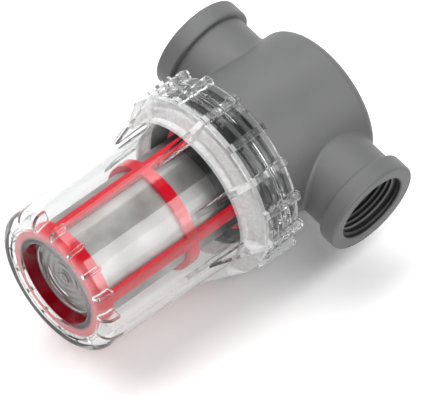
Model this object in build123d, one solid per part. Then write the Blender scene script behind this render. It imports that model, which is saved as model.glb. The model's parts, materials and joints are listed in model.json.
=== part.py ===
"""Inline strainer for liquid lines, in millimetres.

It stands on the foot of its bowl, with the bowl's axis on Z and the two ports along X. A grey head with
a port at each end carries a clear bowl on a screw thread, and the bowl holds a ribbed cage with a steel
mesh sleeve. Liquid enters at +X, goes down round the cage, through the mesh, up the seat tube and out
at -X.
"""
from build123d import *
import os

# Bowl, from the foot up
foot_radius = 26.9
foot_rounding = 3.8
foot_rim_width = 5.9
foot_rim_height = 0.4
recess_mouth_radius = 15.8
recess_disc_radius = 13.4
recess_depth = 4.6
gate_radius = 2.2
gate_height = 0.5
floor_thickness = 1.8
boss_wall = 1.6
bowl_wall = 2.9
wall_top_radius = 28.2
wall_top_height = 61.7
ledge_height = 65.5
shoulder_radius = 34.0
shoulder_rise = 2.9
shoulder_rim_height = 0.8
bay_depth = 0.6
collar_height = 15.5
collar_top_radius = 32.7
collar_lead_in = 0.8
recess_rounding = 0.8
recess_mouth_rounding = 2.0
shoulder_foot_rounding = 0.8
shoulder_rounding = 0.6
collar_rounding = 0.5
floor_rounding = 2.5
boss_rounding = 0.8

# Grip ribs, gussets and fins of the bowl
rib_count = 16
rib_width = 2.6
rib_low_rise = 1.0
rib_top_rise = 3.0
rib_chamfer = 0.6
rib_angle = -4.0
gusset_width = 2.2
gusset_foot_height = 45.0
gusset_setback = 0.3
fin_count = 16
fin_width = 1.3
fin_angle = -12.0
fin_height = 4.6
fin_clearance = 0.3
web_sink = 0.3

# Screw thread between bowl and head
thread_pitch = 4.0
head_thread_turns = 2.0
bowl_thread_turns = 1.5
thread_start_angle = 0.0
thread_height = 1.2
thread_base_width = 2.3
thread_crest_width = 1.0
thread_clearance = 0.3
thread_sink = 0.4

# Seal ring
ring_section = 3.0
ring_clearance = 0.1

# Head
head_radius = 27.7
head_height = 54.0
head_wall = 3.5
head_rounding = 3.5
skirt_chamfer = 0.5
port_axis_above_skirt = 36.1
port_reach = 44.6
port_thread_radius = 13.2
port_thread_length = 16.0
port_mouth_chamfer = 0.6
port_wall = 2.9
port_collar_rise = 2.2
port_collar_length = 7.1
port_collar_rounding = 1.0
neck_blend = 1.5
waterway_radius = 10.0
duct_wall = 2.6
seat_tube_wall = 2.5
seat_bore_headroom = 1.0
seat_engagement = 12.6
cut_overshoot = 1.0

# Strainer cage and mesh
mesh_radius = 18.5
mesh_thickness = 0.6
mesh_clearance = 0.1
cage_wall = 1.9
cage_rib_width = 3.8
cage_rib_angle = -22.5
cage_rib_count = 4
cage_height = 70.6
cage_bottom_ring_height = 5.2
cage_middle_ring_height = 42.0
cage_middle_ring_width = 4.3
cage_top_ring_height = 4.0
cage_lip = 0.9
seat_clearance = 0.2

# Worked out from the sizes above
floor_height = foot_rim_height + floor_thickness
disc_height = foot_rim_height + recess_depth
boss_foot_radius = recess_mouth_radius + boss_wall
boss_top_radius = recess_disc_radius + boss_wall
boss_top_height = disc_height + floor_thickness
wall_foot_inside = foot_radius - bowl_wall
wall_top_inside = wall_top_radius - bowl_wall
collar_top = ledge_height + collar_height
shoulder_height = wall_top_height + shoulder_rise
collar_bore_radius = head_radius + thread_height + thread_clearance
rib_low_radius = shoulder_radius + rib_low_rise
rib_top_radius = collar_top_radius + rib_top_rise
ring_radius = wall_top_inside + ring_clearance + ring_section / 2
ring_height = ledge_height + ring_clearance + ring_section / 2
skirt_end = ring_height + ring_section / 2 + ring_clearance
thread_start = skirt_end + thread_base_width / 2 + skirt_chamfer / 2
head_top = skirt_end + head_height
head_roof = head_top - head_wall
head_bore_radius = head_radius - head_wall
port_axis = skirt_end + port_axis_above_skirt
neck_radius = port_thread_radius + port_wall
port_collar_radius = neck_radius + port_collar_rise
cage_bottom = floor_height + seat_clearance
bottom_ring_top = cage_bottom + cage_bottom_ring_height
cage_top = cage_bottom + cage_height
cage_inside_radius = mesh_radius + mesh_clearance
cage_radius = cage_inside_radius + cage_wall
seat_tube_radius = cage_inside_radius - seat_clearance
seat_end = cage_top - seat_engagement
mesh_bottom = bottom_ring_top + seat_clearance / 2
mesh_top = seat_end - seat_clearance


def revolved(*points):
    """Solid of revolution about Z from the (radius, height) corners of its half section."""
    corners = [(radius, 0, height) for radius, height in points]
    return revolve(make_face(Polyline(*corners, corners[0])), Axis.Z)


def tube(outer_radius, inner_radius, bottom, top):
    """Upright tube between two heights."""
    return revolved((inner_radius, bottom), (outer_radius, bottom), (outer_radius, top), (inner_radius, top))


def rod(radius, bottom, top):
    """Upright rod between two heights."""
    return Pos(0, 0, bottom) * Cylinder(radius, top - bottom, align=(Align.CENTER, Align.CENTER, Align.MIN))


def cross_rod(radius, x_from, x_to, height):
    """Rod along X between two x values, at a height."""
    upright = Cylinder(radius, x_to - x_from, align=(Align.CENTER, Align.CENTER, Align.MIN))
    return Pos(x_from, 0, height) * (Rot(0, 90, 0) * upright)


def web(points, width):
    """Flat web in the XZ plane, as wide as stated, from its (radius, height) corners."""
    corners = [(radius, 0, height) for radius, height in points]
    return extrude(make_face(Polyline(*corners, corners[0])), width / 2, dir=(0, 1, 0), both=True)


def around(solid, count, first_angle):
    """Copies of a solid, evenly spaced about Z."""
    return [Rot(0, 0, first_angle + 360 * index / count) * solid for index in range(count)]


def thread_ridge(root_radius, crest_radius, start_height, turns):
    """Helical ridge of the bowl's thread, sunk a little into the wall that carries it."""
    sunk = thread_sink if crest_radius < root_radius else -thread_sink
    sunk_width = thread_base_width + (thread_base_width - thread_crest_width) * thread_sink / thread_height
    section = make_face(
        Polyline(
            (root_radius + sunk, 0, -sunk_width / 2),
            (crest_radius, 0, -thread_crest_width / 2),
            (crest_radius, 0, thread_crest_width / 2),
            (root_radius + sunk, 0, sunk_width / 2),
            (root_radius + sunk, 0, -sunk_width / 2),
        )
    )
    path = Helix(thread_pitch, thread_pitch * turns, crest_radius)
    ridge = sweep(section, path, is_frenet=True)
    return Pos(0, 0, start_height) * (Rot(0, 0, thread_start_angle) * ridge)


def make_bowl():
    """Clear bowl: tapered cup, raised boss in its floor, shoulder, and threaded collar with grip ribs."""
    section = FilletPolyline(
        (0, 0, disc_height),
        (recess_disc_radius, 0, disc_height),
        (recess_mouth_radius, 0, foot_rim_height),
        (foot_radius - foot_rim_width, 0, foot_rim_height),
        (foot_radius - foot_rim_width + foot_rim_height, 0, 0),
        (foot_radius, 0, 0),
        (wall_top_radius, 0, wall_top_height),
        (shoulder_radius, 0, shoulder_height),
        (shoulder_radius, 0, shoulder_height + shoulder_rim_height),
        (shoulder_radius - bay_depth, 0, shoulder_height + shoulder_rim_height),
        (collar_top_radius, 0, collar_top),
        (collar_bore_radius + collar_lead_in, 0, collar_top),
        (collar_bore_radius, 0, collar_top - collar_lead_in),
        (collar_bore_radius, 0, ledge_height),
        (wall_top_inside, 0, ledge_height),
        (wall_foot_inside, 0, floor_height),
        (boss_foot_radius, 0, floor_height),
        (boss_top_radius, 0, boss_top_height),
        (0, 0, boss_top_height),
        radius=[
            recess_rounding,
            recess_mouth_rounding,
            0,
            0,
            foot_rounding,
            shoulder_foot_rounding,
            shoulder_rounding,
            0,
            0,
            collar_rounding,
            0,
            0,
            0,
            0,
            floor_rounding,
            0,
            boss_rounding,
        ],
    )
    bowl = revolve(make_face(section + Line((0, 0, boss_top_height), (0, 0, disc_height))), Axis.Z)
    bowl += rod(gate_radius, disc_height - gate_height, disc_height)

    collar_middle = (collar_bore_radius + collar_top_radius) / 2
    rib = web(
        [
            (collar_middle, ledge_height),
            (shoulder_radius, shoulder_height),
            (rib_low_radius - rib_chamfer / 2, shoulder_height),
            (rib_low_radius, shoulder_height + rib_chamfer),
            (rib_top_radius, collar_top - rib_chamfer),
            (rib_top_radius - rib_chamfer, collar_top),
            (collar_middle, collar_top),
        ],
        rib_width,
    )
    wall_middle = wall_foot_inside + bowl_wall / 2
    gusset = web(
        [
            (wall_middle, gusset_foot_height),
            (wall_top_radius - gusset_setback, gusset_foot_height),
            (rib_low_radius - gusset_setback, shoulder_height + web_sink),
            (shoulder_radius - shoulder_rounding, shoulder_height + web_sink),
            (wall_top_radius, (wall_top_height + ledge_height) / 2),
            (wall_middle, wall_top_height),
        ],
        gusset_width,
    )
    fin_inside = cage_radius + fin_clearance
    fin_outside = wall_foot_inside + bowl_wall / 3
    fin = web(
        [
            (fin_inside, floor_height - web_sink),
            (fin_inside, floor_height + fin_height),
            (fin_outside, floor_height + fin_height),
            (fin_outside, floor_height - web_sink),
        ],
        fin_width,
    )
    bowl += around(rib, rib_count, rib_angle)
    bowl += around(gusset, rib_count // 2, rib_angle)
    bowl += around(fin, fin_count, fin_angle)
    crest_radius = collar_bore_radius - thread_height
    bowl += thread_ridge(collar_bore_radius, crest_radius, thread_start + thread_pitch / 2, bowl_thread_turns)
    return bowl


def make_o_ring():
    """Seal ring that lies on the bowl's ledge, under the end of the head's skirt."""
    return Pos(0, 0, ring_height) * Torus(ring_radius, ring_section / 2)


def make_head():
    """Head: cap with a skirt, two ports in line, and the seat tube that leads to the outlet port."""
    cap = fillet(rod(head_radius, skirt_end, head_top).edges().group_by(Axis.Z)[-1], head_rounding)
    cap = chamfer(cap.edges().group_by(Axis.Z)[0], skirt_chamfer)
    necks = cross_rod(neck_radius, -port_reach, port_reach, port_axis)
    head = cap + necks
    head = fillet(new_edges(cap, necks, combined=head), neck_blend)
    for side in (-1, 1):
        face = side * port_reach
        root = side * (port_reach - port_collar_length)
        collar = cross_rod(port_collar_radius, min(face, root), max(face, root), port_axis)
        head += fillet(collar.edges().filter_by(GeomType.CIRCLE), port_collar_rounding)

    head -= rod(head_bore_radius, skirt_end - cut_overshoot, head_roof)
    head += rod(seat_tube_radius, seat_end, head_roof + head_wall / 2)
    head += cross_rod(waterway_radius + duct_wall, -(head_bore_radius + head_wall / 2), 0, port_axis)
    bore_top = port_axis + waterway_radius + seat_bore_headroom
    head -= rod(seat_tube_radius - seat_tube_wall, seat_end - cut_overshoot, bore_top)
    head -= cross_rod(waterway_radius, -port_reach, 0, port_axis)
    head -= cross_rod(waterway_radius, (seat_tube_radius + head_bore_radius) / 2, port_reach, port_axis)
    for side in (-1, 1):
        face = side * port_reach
        root = side * (port_reach - port_thread_length)
        head -= cross_rod(port_thread_radius, min(face, root), max(face, root), port_axis)
        mouth = Cone(port_thread_radius, port_thread_radius + port_mouth_chamfer, port_mouth_chamfer)
        head -= Pos(face - side * port_mouth_chamfer / 2, 0, port_axis) * (Rot(0, 90 * side, 0) * mouth)
    head += thread_ridge(head_radius, head_radius + thread_height, thread_start, head_thread_turns)
    return head


def make_cage():
    """Moulded cage: bottom ring, middle ring, top ring that slides over the seat tube, and four ribs."""
    inside = cage_inside_radius
    cage = tube(cage_radius, inside - cage_lip, cage_bottom, bottom_ring_top)
    cage += tube(cage_radius, inside, cage_middle_ring_height, cage_middle_ring_height + cage_middle_ring_width)
    cage += tube(cage_radius, inside, cage_top - cage_top_ring_height, cage_top)
    rib_middle = (inside + cage_radius) / 2
    rib = Pos(rib_middle, 0, cage_bottom) * Box(
        cage_radius - inside,
        cage_rib_width,
        cage_height - cage_top_ring_height / 2,
        align=(Align.CENTER, Align.CENTER, Align.MIN),
    )
    shell = tube(cage_radius, inside, cage_bottom, cage_top)
    for rib_copy in around(rib, cage_rib_count, cage_rib_angle):
        cage += rib_copy & shell
    return cage


def make_mesh():
    """Stainless mesh sleeve, as the thin wall that its wires fill."""
    return tube(mesh_radius, mesh_radius - mesh_thickness, mesh_bottom, mesh_top)


parts = {
    "head": make_head(),
    "bowl": make_bowl(),
    "bowl_o_ring": make_o_ring(),
    "strainer_cage": make_cage(),
    "strainer_mesh": make_mesh(),
}

os.makedirs("parts", exist_ok=True)
for node, solid in parts.items():
    export_step(solid, f"parts/{node}.step")
    print(node, "volume", round(solid.volume), "valid", solid.is_valid)
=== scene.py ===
"""Looks of the inline strainer: finishes, the ports' fine threads, and the studio it is seen in.

Lengths are in metres unless a name says otherwise. The strainer stands on its foot with its axis on Z, and
the camera sees it lying on the grip ribs of its bowl, so the studio's floor is an upright plane behind it.
"""
import bpy
import json
import math
from mathutils import Matrix, Vector


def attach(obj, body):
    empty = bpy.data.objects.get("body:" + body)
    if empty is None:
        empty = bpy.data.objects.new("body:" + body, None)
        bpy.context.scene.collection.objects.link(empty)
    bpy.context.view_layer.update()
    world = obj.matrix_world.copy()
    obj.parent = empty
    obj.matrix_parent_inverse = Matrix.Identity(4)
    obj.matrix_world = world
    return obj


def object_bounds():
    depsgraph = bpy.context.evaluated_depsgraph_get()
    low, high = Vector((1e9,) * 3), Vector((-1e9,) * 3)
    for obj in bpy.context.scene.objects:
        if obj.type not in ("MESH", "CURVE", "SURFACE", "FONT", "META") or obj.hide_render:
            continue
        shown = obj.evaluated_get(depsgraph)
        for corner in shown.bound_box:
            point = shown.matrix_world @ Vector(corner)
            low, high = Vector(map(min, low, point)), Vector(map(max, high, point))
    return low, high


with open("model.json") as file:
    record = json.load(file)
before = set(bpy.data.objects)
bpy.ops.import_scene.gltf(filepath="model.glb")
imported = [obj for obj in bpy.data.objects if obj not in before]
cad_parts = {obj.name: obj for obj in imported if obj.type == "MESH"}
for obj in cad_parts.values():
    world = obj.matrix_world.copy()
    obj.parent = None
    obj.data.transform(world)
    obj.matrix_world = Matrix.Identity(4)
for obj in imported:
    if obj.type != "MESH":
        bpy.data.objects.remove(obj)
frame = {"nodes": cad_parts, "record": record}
cad_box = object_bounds()

MM = 0.001
X_AXIS = Vector((1, 0, 0))
Z_AXIS = Vector((0, 0, 1))

# The floor that the strainer lies on in the picture, and the plane under its foot, with the reach of their
# painted contact shade
FLOOR_UP = Vector((-0.161, -0.987, 0.0)).normalized()
FLOOR_SIDE = Vector((0.987, -0.161, 0.0)).normalized()
FLOOR_DISTANCE = 35.8 * MM
FLOOR_SIZE = 8.0
FLOOR_SHADE_REACH = 6.0 * MM
FLOOR_WHITE = 1.28
FLOOR_PAINT = (0.85, 0.85, 0.85, 1)
FLOOR_GLOW = 0.25
STAND_DROP = 0.2 * MM
STAND_SIZE = 40.0
STAND_SHADE_REACH = 25.0 * MM

# Softboxes: how far from the strainer they stand, and between which heights over its middle
LAMP_DISTANCE = 0.55
MIRRORED_BOTTOM = -0.65
LEFT_SOFTBOX_TOP = 0.36
LEFT_WALL_TOP = 0.65
RIGHT_SOFTBOX_TOP = 0.30
LIGHTING_BOTTOM = -0.45
LIGHTING_TOP = 0.85

# Strength of the world where it is seen, where it lights and where it is mirrored, which grows dark between
# two cosines of the angle from the floor's upward direction
WORLD_SEEN = 1.0
WORLD_LIGHTING = 0.12
WORLD_MIRRORED = 0.5
WORLD_DARK = 0.01
DARK_FROM_COSINE = 0.4
DARK_TO_COSINE = 0.55

# The camera that took the picture
CAMERA_PLACE = Vector((620.8, -1414.1, -692.8)) * MM
CAMERA_VIEW = Vector((-0.3568, 0.8236, 0.4409)).normalized()
CAMERA_RIGHT = Vector((0.6732, -0.1006, 0.7326)).normalized()
CAMERA_CLIP_START = 0.1
CAMERA_CLIP_END = 100
SENSOR_WIDTH_MM = 36.0
FOCAL_LENGTH_PIXELS = 5105.47
IMAGE_WIDTH_PIXELS = 424

# Pipe thread in the ports, 14 turns to the inch. A ridge's widths at its crest and root are shares of the
# pitch, and its height at its ends and what it gains in a turn are shares of the depth
THREAD_PITCH = 25.4 * MM / 14
THREAD_DEPTH = 1.16 * MM
THREAD_CREST = 0.22
THREAD_ROOT = 0.86
THREAD_SINK = 0.15 * MM
THREAD_STEPS = 96
THREAD_MARGIN_TURNS = 0.6
THREAD_RISE_PER_TURN = 1.5
THREAD_END_SHARE = 0.05
SHARP_FROM = math.radians(35)

# Width over which one finish passes into the next, and a noise's values between which a colour varies
BLEND = 0.4 * MM
NOISE_FROM = 0.35
NOISE_TO = 0.65

# Frosted shoulder of the bowl with the clear line in it, and the grip ribs
SHOULDER_FROM = 60.0 * MM
SHOULDER_TO = 66.8 * MM
SHOULDER_LINE_FROM = 65.2 * MM
SHOULDER_LINE_TO = 65.3 * MM
FROST_NOISE_FROM = 0.3
FROST_NOISE_TO = 0.7
FROST_DULLEST = 0.45
FROST_CLEAREST = 0.6
RIB_FOOT = 34.2 * MM
RIB_CLEARNESS = 0.92

# Share of the light that passes the bowl, below its shoulder and from there up
WALL_LIGHT = 0.93
COLLAR_LIGHT = 0.98

# Painted reflection: how strongly the bowl mirrors on the disc in its foot, the recess round it, its upper
# wall and its collar
RECESS_WALL_FROM = 13.2 * MM
RECESS_WALL_TO = 17.6 * MM
RECESS_RIM = 0.7 * MM
DARK_WALL_FROM = 48.0 * MM
DARK_WALL_TO = 53.0 * MM
DISC_MIRRORING = 1.8
RECESS_MIRRORING = 0.05
DARK_WALL_MIRRORING = 0.15
COLLAR_MIRRORING = 0.8

# Relief of the bowl: soft edges and sink marks over the screw thread, with the rings on the foot's disc and
# the ripples all over it as shares of the sink marks' depth
EDGE_ROUNDING = 0.35 * MM
SCREW_PITCH = 4.0 * MM
SINKS_FROM = 68.0 * MM
SINK_DEPTH = 0.2 * MM
RING_PITCH = 2.6 * MM
RING_SHARE = 0.25
RIPPLE_SHARE = 0.12

# Painted shade where the light hardly reaches the head: the thread on its skirt and the bores of its ports;
# painted highlight on the ports' thread crests
SKIRT_TO = 80.6 * MM
SKIRT_BLEND = 1.2 * MM
SKIRT_ROOT = 27.7 * MM
SKIRT_CREST = 28.9 * MM
SKIRT_ROOT_SHADE = 0.03
SKIRT_CREST_SHADE = 0.4
PORT_AXIS = 104.8 * MM
PORT_BORE = 13.2 * MM
PORT_BORE_FROM = 28.4 * MM
PORT_RIM_FROM = 13.3 * MM
PORT_RIM_TO = 13.5 * MM
PORT_CREST_HIGHLIGHT = 1.9
PORT_ROOT_SHADE = 0.1

# Bore of the cage's bottom ring, which gets painted shade and less gloss
CAGE_INSIDE = 18.4 * MM
CAGE_INSIDE_SHADE = 0.45
CAGE_GLOSS = 0.5

# Wire cloth of the strainer's sleeve, with painted shade towards the head
WIRE_PITCH = 0.5 * MM
WIRES_AROUND = 232
MESH_SHADE_FROM = 42.0 * MM
MESH_SHADE_TO = 60.0 * MM
MESH_TOP_SHADE = 0.12
MESH_LIGHT = 0.3


def new_material(name):
    """A material with its node tree and its main shader."""
    material = bpy.data.materials.new(name)
    material.use_nodes = True
    return material, material.node_tree, material.node_tree.nodes["Principled BSDF"]


def add(tree, kind, **values):
    """A node of one kind, with values for its named inputs or its own settings."""
    node = tree.nodes.new(kind)
    for key, value in values.items():
        if key in node.inputs:
            node.inputs[key].default_value = value
        else:
            setattr(node, key, value)
    return node


def feed(tree, value, socket):
    """A number or another node's output into an input."""
    if isinstance(value, bpy.types.NodeSocket):
        tree.links.new(value, socket)
    else:
        socket.default_value = value


def math_node(tree, operation, *values):
    """One step of arithmetic on sockets or numbers."""
    node = add(tree, "ShaderNodeMath", operation=operation)
    for value, socket in zip(values, node.inputs):
        feed(tree, value, socket)
    return node.outputs[0]


def choose(tree, factor, first, second):
    """The first value where a socket is 0, and the second where it is 1."""
    node = add(tree, "ShaderNodeMix", data_type="FLOAT")
    feed(tree, factor, node.inputs["Factor"])
    feed(tree, first, node.inputs["A"])
    feed(tree, second, node.inputs["B"])
    return node.outputs["Result"]


def mix_shaders(tree, factor, first, second):
    """The first shader where a socket is 0, and the second where it is 1."""
    mix = add(tree, "ShaderNodeMixShader")
    for value, socket in zip((factor, first, second), mix.inputs):
        tree.links.new(value, socket)
    return mix.outputs[0]


def object_noise(tree, scale, detail=3.0):
    """Noise over the object's own coordinates."""
    place = add(tree, "ShaderNodeTexCoord")
    noise = add(tree, "ShaderNodeTexNoise", Scale=scale, Detail=detail)
    tree.links.new(place.outputs["Object"], noise.inputs["Vector"])
    return noise.outputs["Fac"]


def object_axes(tree):
    """Sockets of the object's own X, Y and Z."""
    place = add(tree, "ShaderNodeTexCoord")
    axes = add(tree, "ShaderNodeSeparateXYZ")
    tree.links.new(place.outputs["Object"], axes.inputs["Vector"])
    return [axes.outputs[name] for name in "XYZ"]


def ramp_between(tree, value, start, end, low, high):
    """A value that runs from low to high while a socket runs from start to end."""
    spread = add(tree, "ShaderNodeMapRange")
    spread.inputs["From Min"].default_value = start
    spread.inputs["From Max"].default_value = end
    spread.inputs["To Min"].default_value = low
    spread.inputs["To Max"].default_value = high
    tree.links.new(value, spread.inputs["Value"])
    return spread.outputs["Result"]


def diagonal(tree, first, second):
    """Length of the diagonal over two sockets."""
    first_square = math_node(tree, "MULTIPLY", first, first)
    second_square = math_node(tree, "MULTIPLY", second, second)
    return math_node(tree, "SQRT", math_node(tree, "ADD", first_square, second_square))


def by_height(tree, start, end, low, high):
    """A value that runs from low to high between two heights on the object."""
    return ramp_between(tree, object_axes(tree)[2], start, end, low, high)


def by_radius(tree, start, end, low, high):
    """A value that runs from low to high between two distances from the object's Z axis."""
    x, y, _ = object_axes(tree)
    return ramp_between(tree, diagonal(tree, x, y), start, end, low, high)


def in_band(tree, from_height, to_height):
    """1 in a band of heights on the object, and 0 outside it."""
    above_foot = by_height(tree, from_height - BLEND, from_height, 0.0, 1.0)
    below_top = by_height(tree, to_height, to_height + BLEND, 1.0, 0.0)
    return math_node(tree, "MINIMUM", above_foot, below_top)


def vary_colour(tree, shader, noise, dark, light):
    """Colour between two shades, by a noise."""
    ramp = add(tree, "ShaderNodeValToRGB")
    for element, position, shade in zip(ramp.color_ramp.elements, (NOISE_FROM, NOISE_TO), (dark, light)):
        element.position = position
        element.color = (*shade, 1)
    tree.links.new(noise, ramp.inputs["Fac"])
    tree.links.new(ramp.outputs["Color"], shader.inputs["Base Color"])


def vary_roughness(tree, shader, noise, low, high):
    """Roughness between two values, by a noise."""
    tree.links.new(ramp_between(tree, noise, 0.0, 1.0, low, high), shader.inputs["Roughness"])


def dim(tree, shader, factor):
    """Base colour of a shader, scaled by a socket."""
    scale = add(tree, "ShaderNodeVectorMath", operation="SCALE")
    tree.links.new(shader.inputs["Base Color"].links[0].from_socket, scale.inputs[0])
    tree.links.new(factor, scale.inputs["Scale"])
    tree.links.new(scale.outputs[0], shader.inputs["Base Color"])


def bump(tree, shader, height, strength, distance):
    """Bump of a shader from a height socket, and the node that makes it."""
    node = add(tree, "ShaderNodeBump", Strength=strength, Distance=distance)
    tree.links.new(height, node.inputs["Height"])
    tree.links.new(node.outputs["Normal"], shader.inputs["Normal"])
    return node


def pass_light(tree, shader, share):
    """Let a share of the lamps' and bounced light straight through, and return the shader that passes it."""
    rays = add(tree, "ShaderNodeLightPath")
    either = math_node(tree, "MAXIMUM", rays.outputs["Is Shadow Ray"], rays.outputs["Is Diffuse Ray"])
    passed = math_node(tree, "MULTIPLY", either, share)
    clear = add(tree, "ShaderNodeBsdfTransparent")
    surface = mix_shaders(tree, passed, shader.outputs[0], clear.outputs[0])
    tree.links.new(surface, tree.nodes["Material Output"].inputs["Surface"])
    return clear


def skirt_shade(tree):
    """Painted shade: 1 above the head's skirt, and less on its thread, least in the roots."""
    thread = by_radius(tree, SKIRT_ROOT, SKIRT_CREST, SKIRT_ROOT_SHADE, SKIRT_CREST_SHADE)
    above = by_height(tree, SKIRT_TO - SKIRT_BLEND, SKIRT_TO, 0.0, 1.0)
    return math_node(tree, "MAXIMUM", thread, above)


def port_shade_and_highlight(tree):
    """Painted light: 1 all over the head, a painted highlight on the crests of the ports' threads and painted
    shade between them.
    """
    x, y, z = object_axes(tree)
    from_axis = diagonal(tree, y, math_node(tree, "SUBTRACT", z, PORT_AXIS))
    crest = PORT_BORE - THREAD_DEPTH
    halfway = PORT_BORE - THREAD_DEPTH / 2
    # Painted highlight on the thread crests, painted shade deeper in the bore
    thread = ramp_between(tree, from_axis, crest, halfway, PORT_CREST_HIGHLIGHT, PORT_ROOT_SHADE)
    outside = ramp_between(tree, from_axis, PORT_RIM_FROM, PORT_RIM_TO, 0.0, 1.0)
    along = math_node(tree, "ABSOLUTE", x)
    inwards = ramp_between(tree, along, PORT_BORE_FROM, PORT_BORE_FROM + MM, 1.0, 0.0)
    return math_node(tree, "MAXIMUM", thread, math_node(tree, "MAXIMUM", outside, inwards))


def head_plastic():
    """Grey moulding with a fine satin grain, with painted shade on the threads that lie in shade and a
    painted highlight on the ports' thread crests.
    """
    material, tree, shader = new_material("head_plastic")
    vary_colour(tree, shader, object_noise(tree, scale=60), (0.138, 0.139, 0.141), (0.153, 0.154, 0.156))
    # Painted shade on the skirt's thread and in the ports' bores, and a painted highlight on the ports'
    # thread crests
    dim(tree, shader, math_node(tree, "MULTIPLY", skirt_shade(tree), port_shade_and_highlight(tree)))
    grain = object_noise(tree, scale=3500, detail=2)
    vary_roughness(tree, shader, grain, low=0.42, high=0.55)
    bump(tree, shader, grain, strength=0.12, distance=0.05 * MM)
    return material


def clearness(tree):
    """How clear the bowl is: frosted on its shoulder but for one line, and a little milky in its ribs."""
    noise = object_noise(tree, scale=700, detail=4)
    frosted = ramp_between(tree, noise, FROST_NOISE_FROM, FROST_NOISE_TO, FROST_DULLEST, FROST_CLEAREST)
    off_shoulder = math_node(tree, "SUBTRACT", 1.0, in_band(tree, SHOULDER_FROM, SHOULDER_TO))
    line = in_band(tree, SHOULDER_LINE_FROM, SHOULDER_LINE_TO)
    shoulder = math_node(tree, "MAXIMUM", frosted, math_node(tree, "MAXIMUM", off_shoulder, line))
    ribs = by_radius(tree, RIB_FOOT - BLEND, RIB_FOOT, 1.0, RIB_CLEARNESS)
    return math_node(tree, "MINIMUM", shoulder, ribs)


def painted_mirroring(tree):
    """Painted reflection: how strongly the bowl mirrors, most on its disc, least in the recess and just below
    the shoulder.
    """
    disc = by_radius(tree, RECESS_WALL_FROM, RECESS_WALL_FROM + BLEND, DISC_MIRRORING, RECESS_MIRRORING)
    outside = by_radius(tree, RECESS_WALL_TO, RECESS_WALL_TO + BLEND, 0.0, 1.0)
    rim = by_height(tree, RECESS_RIM, RECESS_RIM + BLEND, 1.0, 0.0)
    foot = math_node(tree, "MAXIMUM", disc, math_node(tree, "MAXIMUM", outside, rim))
    wall = by_height(tree, DARK_WALL_FROM, DARK_WALL_TO, 1.0, DARK_WALL_MIRRORING)
    shoulder = by_height(tree, SHOULDER_FROM, SHOULDER_FROM + BLEND, 0.0, 1.0)
    collar = by_height(tree, SHOULDER_TO, SHOULDER_TO + BLEND, 1.0, COLLAR_MIRRORING)
    top = math_node(tree, "MULTIPLY", math_node(tree, "MAXIMUM", wall, shoulder), collar)
    return math_node(tree, "MULTIPLY", foot, top)


def relief(tree):
    """Height of the bowl's surface: sink marks over the screw thread, rings on the disc, and ripples."""
    x, y, z = object_axes(tree)
    climb = math_node(tree, "MULTIPLY", z, 2 * math.pi / SCREW_PITCH)
    turn = math_node(tree, "SUBTRACT", climb, math_node(tree, "ARCTAN2", y, x))
    on_collar = by_height(tree, SHOULDER_TO, SINKS_FROM, 0.0, 1.0)
    sinks = math_node(tree, "MULTIPLY", math_node(tree, "SINE", turn), on_collar)
    outwards = math_node(tree, "MULTIPLY", diagonal(tree, x, y), 2 * math.pi / RING_PITCH)
    on_disc = by_radius(tree, RECESS_WALL_FROM - BLEND, RECESS_WALL_FROM, RING_SHARE, 0.0)
    rings = math_node(tree, "MULTIPLY", math_node(tree, "SINE", outwards), on_disc)
    ripples = math_node(tree, "MULTIPLY", object_noise(tree, scale=220, detail=1), RIPPLE_SHARE)
    return math_node(tree, "ADD", sinks, math_node(tree, "ADD", ripples, rings))


def clear_plastic():
    """Polished clear moulding with soft edges, which the lamps' and bounced light passes straight through."""
    material, tree, shader = new_material("clear_plastic")
    shader.inputs["Base Color"].default_value = (0.93, 0.937, 0.937, 1)
    shader.inputs["Roughness"].default_value = 0.015
    shader.inputs["IOR"].default_value = 1.5
    tree.links.new(clearness(tree), shader.inputs["Transmission Weight"])
    # Painted reflection: stronger on the foot's disc, weaker in the recess and just below the shoulder
    tree.links.new(painted_mirroring(tree), shader.inputs["Specular Tint"])
    surface = bump(tree, shader, relief(tree), strength=0.75, distance=SINK_DEPTH)
    rounded = add(tree, "ShaderNodeBevel", Radius=EDGE_ROUNDING, samples=6)
    tree.links.new(rounded.outputs[0], surface.inputs["Normal"])
    clear = pass_light(tree, shader, share=1.0)
    passed = by_height(tree, SHOULDER_FROM - BLEND, SHOULDER_FROM, WALL_LIGHT, COLLAR_LIGHT)
    tree.links.new(passed, clear.inputs["Color"])
    return material


def cage_plastic():
    """Red moulding with a soft gloss, duller in the bore of its bottom ring and darker there with painted
    shade.
    """
    material, tree, shader = new_material("cage_plastic")
    vary_colour(tree, shader, object_noise(tree, scale=90), (0.74, 0.002, 0.016), (0.82, 0.003, 0.024))
    # Painted shade in the bore of the cage's bottom ring
    dim(tree, shader, by_radius(tree, CAGE_INSIDE - BLEND, CAGE_INSIDE, CAGE_INSIDE_SHADE, 1.0))
    grain = object_noise(tree, scale=1200, detail=2)
    vary_roughness(tree, shader, grain, low=0.12, high=0.22)
    gloss = by_radius(tree, CAGE_INSIDE - BLEND, CAGE_INSIDE, 0.0, CAGE_GLOSS)
    tree.links.new(gloss, shader.inputs["Specular IOR Level"])
    bump(tree, shader, grain, strength=0.05, distance=0.05 * MM)
    return material


def weave(tree):
    """Height of a woven cloth round Z, between -1 in its holes and 1 on its wires."""
    x, y, z = object_axes(tree)
    angle = math_node(tree, "ARCTAN2", y, x)
    upright = math_node(tree, "SINE", math_node(tree, "MULTIPLY", angle, WIRES_AROUND / 2))
    level = math_node(tree, "SINE", math_node(tree, "MULTIPLY", z, math.pi / WIRE_PITCH))
    return math_node(tree, "MULTIPLY", upright, level)


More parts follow.
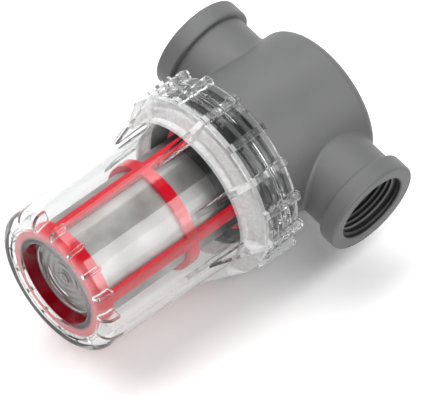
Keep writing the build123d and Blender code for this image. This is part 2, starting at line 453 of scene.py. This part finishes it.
def mesh_steel():
    """Fine woven wire cloth that lets some light through, a little stained, and darker towards the head with
    painted shade.
    """
    material, tree, shader = new_material("mesh_steel")
    shader.inputs["Metallic"].default_value = 0.5
    stains = object_noise(tree, scale=75, detail=6)
    vary_colour(tree, shader, stains, (0.28, 0.265, 0.252), (0.46, 0.452, 0.444))
    # Painted shade: the cloth darkens towards the head
    dim(tree, shader, by_height(tree, MESH_SHADE_FROM, MESH_SHADE_TO, 1.0, MESH_TOP_SHADE))
    vary_roughness(tree, shader, object_noise(tree, scale=2600, detail=2), low=0.36, high=0.5)
    bump(tree, shader, weave(tree), strength=0.3, distance=0.06 * MM)
    pass_light(tree, shader, share=MESH_LIGHT)
    return material


def seal_rubber():
    """Black rubber, slightly dusty."""
    material, tree, shader = new_material("seal_rubber")
    vary_colour(tree, shader, object_noise(tree, scale=300), (0.018, 0.018, 0.019), (0.03, 0.03, 0.031))
    shader.inputs["Roughness"].default_value = 0.5
    return material


def dress(node, material):
    """One part of the strainer in its finish."""
    for slot in frame["nodes"][node].material_slots:
        slot.material = material


def ridge_section(centre, bore, along, angle, height):
    """Four corners of a thread ridge, at one angle round the port's axis."""
    corners = []
    for radius, share in (
        (bore + THREAD_SINK, -THREAD_ROOT),
        (bore - height, -THREAD_CREST),
        (bore - height, THREAD_CREST),
        (bore + THREAD_SINK, THREAD_ROOT),
    ):
        x = along + share * THREAD_PITCH / 2
        corners.append((x, centre.y + radius * math.cos(angle), centre.z + radius * math.sin(angle)))
    return corners


def port_thread(name, mount, material):
    """Ridges of a port's pipe thread, from the mount's bore, as one closed helical mesh."""
    side = mount["axis"][0]
    bore = mount["dims"]["r_mm"] * MM
    length = mount["dims"]["length_mm"] * MM
    centre = Vector(mount["pos_m"])
    start = centre.x - side * length / 2
    steps = int((length / THREAD_PITCH - 2 * THREAD_MARGIN_TURNS) * THREAD_STEPS)
    points = []
    faces = []
    for step in range(steps + 1):
        angle = 2 * math.pi * step / THREAD_STEPS
        along = start + side * THREAD_PITCH * (THREAD_MARGIN_TURNS + step / THREAD_STEPS)
        from_end = min(step, steps - step) / THREAD_STEPS
        height = THREAD_DEPTH * min(1.0, from_end * THREAD_RISE_PER_TURN + THREAD_END_SHARE)
        points += ridge_section(centre, bore, along, angle, height)
        if step:
            before = 4 * (step - 1)
            here = 4 * step
            for corner in range(4):
                after = (corner + 1) % 4
                faces.append((before + corner, here + corner, here + after, before + after))
    faces.append((0, 1, 2, 3))
    faces.append((4 * steps + 3, 4 * steps + 2, 4 * steps + 1, 4 * steps))
    mesh = bpy.data.meshes.new(name)
    mesh.from_pydata(points, [], faces)
    mesh.update()
    mesh.shade_smooth()
    mesh.set_sharp_from_angle(angle=SHARP_FROM)
    piece = bpy.data.objects.new(name, mesh)
    bpy.context.scene.collection.objects.link(piece)
    piece.data.materials.append(material)
    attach(piece, "head")


def stage_finish(name):
    """A material for the studio, with its tree, to be given what its front shows."""
    material = bpy.data.materials.new(name)
    material.use_nodes = True
    material.node_tree.nodes.clear()
    return material, material.node_tree


def show_from_front(tree, front):
    """Surface output of a studio material: a shader on its front and nothing on its back."""
    side = add(tree, "ShaderNodeNewGeometry")
    clear = add(tree, "ShaderNodeBsdfTransparent")
    out = add(tree, "ShaderNodeOutputMaterial")
    surface = mix_shaders(tree, side.outputs["Backfacing"], front, clear.outputs[0])
    tree.links.new(surface, out.inputs["Surface"])


def painted_contact_shade(tree, reach, white):
    """Painted contact shade: white that darkens where something stands close to it."""
    near = add(tree, "ShaderNodeAmbientOcclusion", Distance=reach)
    return math_node(tree, "MULTIPLY", near.outputs["AO"], white)


def floor_finish():
    """White that takes shadows and painted contact shade, and glows a little in what glass and plastic show
    of it.
    """
    material, tree = stage_finish("floor")
    paint = add(tree, "ShaderNodeBsdfDiffuse", Color=FLOOR_PAINT)
    light = add(tree, "ShaderNodeEmission", Strength=FLOOR_GLOW)
    mirrored = add(tree, "ShaderNodeAddShader")
    tree.links.new(paint.outputs[0], mirrored.inputs[0])
    tree.links.new(light.outputs[0], mirrored.inputs[1])
    seen = add(tree, "ShaderNodeBsdfDiffuse")
    # Painted contact shade where the strainer stands close to the floor
    tree.links.new(painted_contact_shade(tree, FLOOR_SHADE_REACH, FLOOR_WHITE), seen.inputs["Color"])
    rays = add(tree, "ShaderNodeLightPath")
    front = mix_shaders(tree, rays.outputs["Is Camera Ray"], mirrored.outputs[0], seen.outputs[0])
    show_from_front(tree, front)
    return material


def stand_finish():
    """A painted soft shadow round the foot, and clear otherwise, so that the bowl still shows when it is let
    down.
    """
    material, tree = stage_finish("stand")
    shade = add(tree, "ShaderNodeBsdfTransparent")
    # Painted soft shadow round the foot
    tree.links.new(painted_contact_shade(tree, STAND_SHADE_REACH, 1.0), shade.inputs["Color"])
    show_from_front(tree, shade.outputs[0])
    return material


def stage_plane(name, centre, normal, along, size, material):
    """A flat square of the studio."""
    side = normal.cross(along).normalized()
    turn = Matrix((along, -side, normal)).transposed()
    if turn.determinant() < 0:
        turn = Matrix((along, side, normal)).transposed()
    half = size / 2
    mesh = bpy.data.meshes.new(name)
    corners = [(-half, -half, 0), (half, -half, 0), (half, half, 0), (-half, half, 0)]
    mesh.from_pydata(corners, [], [(0, 1, 2, 3)])
    plane = bpy.data.objects.new(name, mesh)
    plane.matrix_world = Matrix.Translation(centre) @ turn.to_4x4()
    bpy.context.scene.collection.objects.link(plane)
    plane.data.materials.append(material)
    return plane


def make_floors():
    """The floor of the picture, upright behind the strainer, and the plane under its foot."""
    floor_place = -FLOOR_UP * FLOOR_DISTANCE
    floor = stage_plane("floor", floor_place, FLOOR_UP, Z_AXIS, FLOOR_SIZE, floor_finish())
    floor.visible_shadow = False
    stand_place = -Z_AXIS * STAND_DROP
    stand = stage_plane("stand", stand_place, Z_AXIS, X_AXIS, STAND_SIZE, stand_finish())
    stand.visible_diffuse = False
    stand.visible_glossy = False
    stand.visible_transmission = False
    stand.visible_shadow = False


def area_lamp(name, from_angle, to_angle, radiance, bottom, top):
    """A long softbox over the floor, between two angles in degrees from the floor's upward direction."""
    middle = math.radians((from_angle + to_angle) / 2)
    half = math.radians(abs(to_angle - from_angle) / 2)
    away = FLOOR_SIDE * math.sin(middle) + FLOOR_UP * math.cos(middle)
    lamp = bpy.data.lights.new(name, "AREA")
    lamp.shape = "RECTANGLE"
    lamp.size = top - bottom
    lamp.size_y = 2 * LAMP_DISTANCE * math.tan(half)
    lamp.energy = radiance * math.pi * lamp.size * lamp.size_y
    holder = bpy.data.objects.new(name, lamp)
    side = away.cross(Z_AXIS).normalized()
    turn = Matrix((Z_AXIS, side, away)).transposed()
    centre = (cad_box[0] + cad_box[1]) / 2 + away * LAMP_DISTANCE + Z_AXIS * (bottom + top) / 2
    holder.matrix_world = Matrix.Translation(centre) @ turn.to_4x4()
    holder.visible_camera = False
    bpy.context.scene.collection.objects.link(holder)
    return holder


def mirrored_lamp(name, from_angle, to_angle, radiance, top):
    """A softbox that only shows as a reflection."""
    lamp = area_lamp(name, from_angle, to_angle, radiance, MIRRORED_BOTTOM, top)
    lamp.visible_diffuse = False


def lighting_lamp(name, from_angle, to_angle, radiance):
    """A softbox that gives light and leaves no reflection."""
    lamp = area_lamp(name, from_angle, to_angle, radiance, LIGHTING_BOTTOM, LIGHTING_TOP)
    lamp.visible_glossy = False
    lamp.visible_transmission = False


def make_world():
    """White behind everything, dim where the studio is dark above the strainer, and an even soft light."""
    world = bpy.data.worlds.new("studio")
    bpy.context.scene.world = world
    world.use_nodes = True
    tree = world.node_tree
    place = add(tree, "ShaderNodeTexCoord")
    upwards = add(tree, "ShaderNodeVectorMath", operation="DOT_PRODUCT")
    upwards.inputs[1].default_value = FLOOR_UP
    tree.links.new(place.outputs["Generated"], upwards.inputs[0])
    cosine = upwards.outputs["Value"]
    shade = ramp_between(tree, cosine, DARK_FROM_COSINE, DARK_TO_COSINE, WORLD_MIRRORED, WORLD_DARK)
    rays = add(tree, "ShaderNodeLightPath")
    mirror = math_node(tree, "MAXIMUM", rays.outputs["Is Glossy Ray"], rays.outputs["Is Transmission Ray"])
    unseen = choose(tree, mirror, WORLD_LIGHTING, shade)
    strength = choose(tree, rays.outputs["Is Camera Ray"], unseen, WORLD_SEEN)
    background = tree.nodes["Background"]
    background.inputs["Color"].default_value = (1, 1, 1, 1)
    tree.links.new(strength, background.inputs["Strength"])


def make_camera():
    """The picture's camera."""
    camera = bpy.data.cameras.new("camera")
    camera.sensor_width = SENSOR_WIDTH_MM
    camera.lens = FOCAL_LENGTH_PIXELS * SENSOR_WIDTH_MM / IMAGE_WIDTH_PIXELS
    camera.clip_start = CAMERA_CLIP_START
    camera.clip_end = CAMERA_CLIP_END
    holder = bpy.data.objects.new("camera", camera)
    up = CAMERA_RIGHT.cross(CAMERA_VIEW).normalized()
    turn = Matrix((CAMERA_RIGHT, up, -CAMERA_VIEW)).transposed()
    holder.matrix_world = Matrix.Translation(CAMERA_PLACE) @ turn.to_4x4()
    bpy.context.scene.collection.objects.link(holder)
    bpy.context.scene.camera = holder


head_finish = head_plastic()
dress("head", head_finish)
dress("bowl", clear_plastic())
dress("bowl_o_ring", seal_rubber())
dress("strainer_cage", cage_plastic())
dress("strainer_mesh", mesh_steel())

mounts = {mount["name"]: mount for mount in frame["record"]["mounts"]}
port_thread("inlet_thread", mounts["inlet_port"], head_finish)
port_thread("outlet_thread", mounts["outlet_port"], head_finish)

make_floors()
mirrored_lamp("left_softbox", -32, -5, radiance=2.6, top=LEFT_SOFTBOX_TOP)
mirrored_lamp("left_wall", -80, -33, radiance=0.25, top=LEFT_WALL_TOP)
mirrored_lamp("right_softbox", 30, 80, radiance=2.9, top=RIGHT_SOFTBOX_TOP)
mirrored_lamp("right_core", 47, 70, radiance=1.1, top=RIGHT_SOFTBOX_TOP)
lighting_lamp("left_key", -32, -6, radiance=2.5)
lighting_lamp("left_fill", -80, -6, radiance=0.95)
lighting_lamp("right_fill", 15, 45, radiance=2.0)
make_world()
make_camera()
bpy.context.scene.view_settings.view_transform = "Standard"
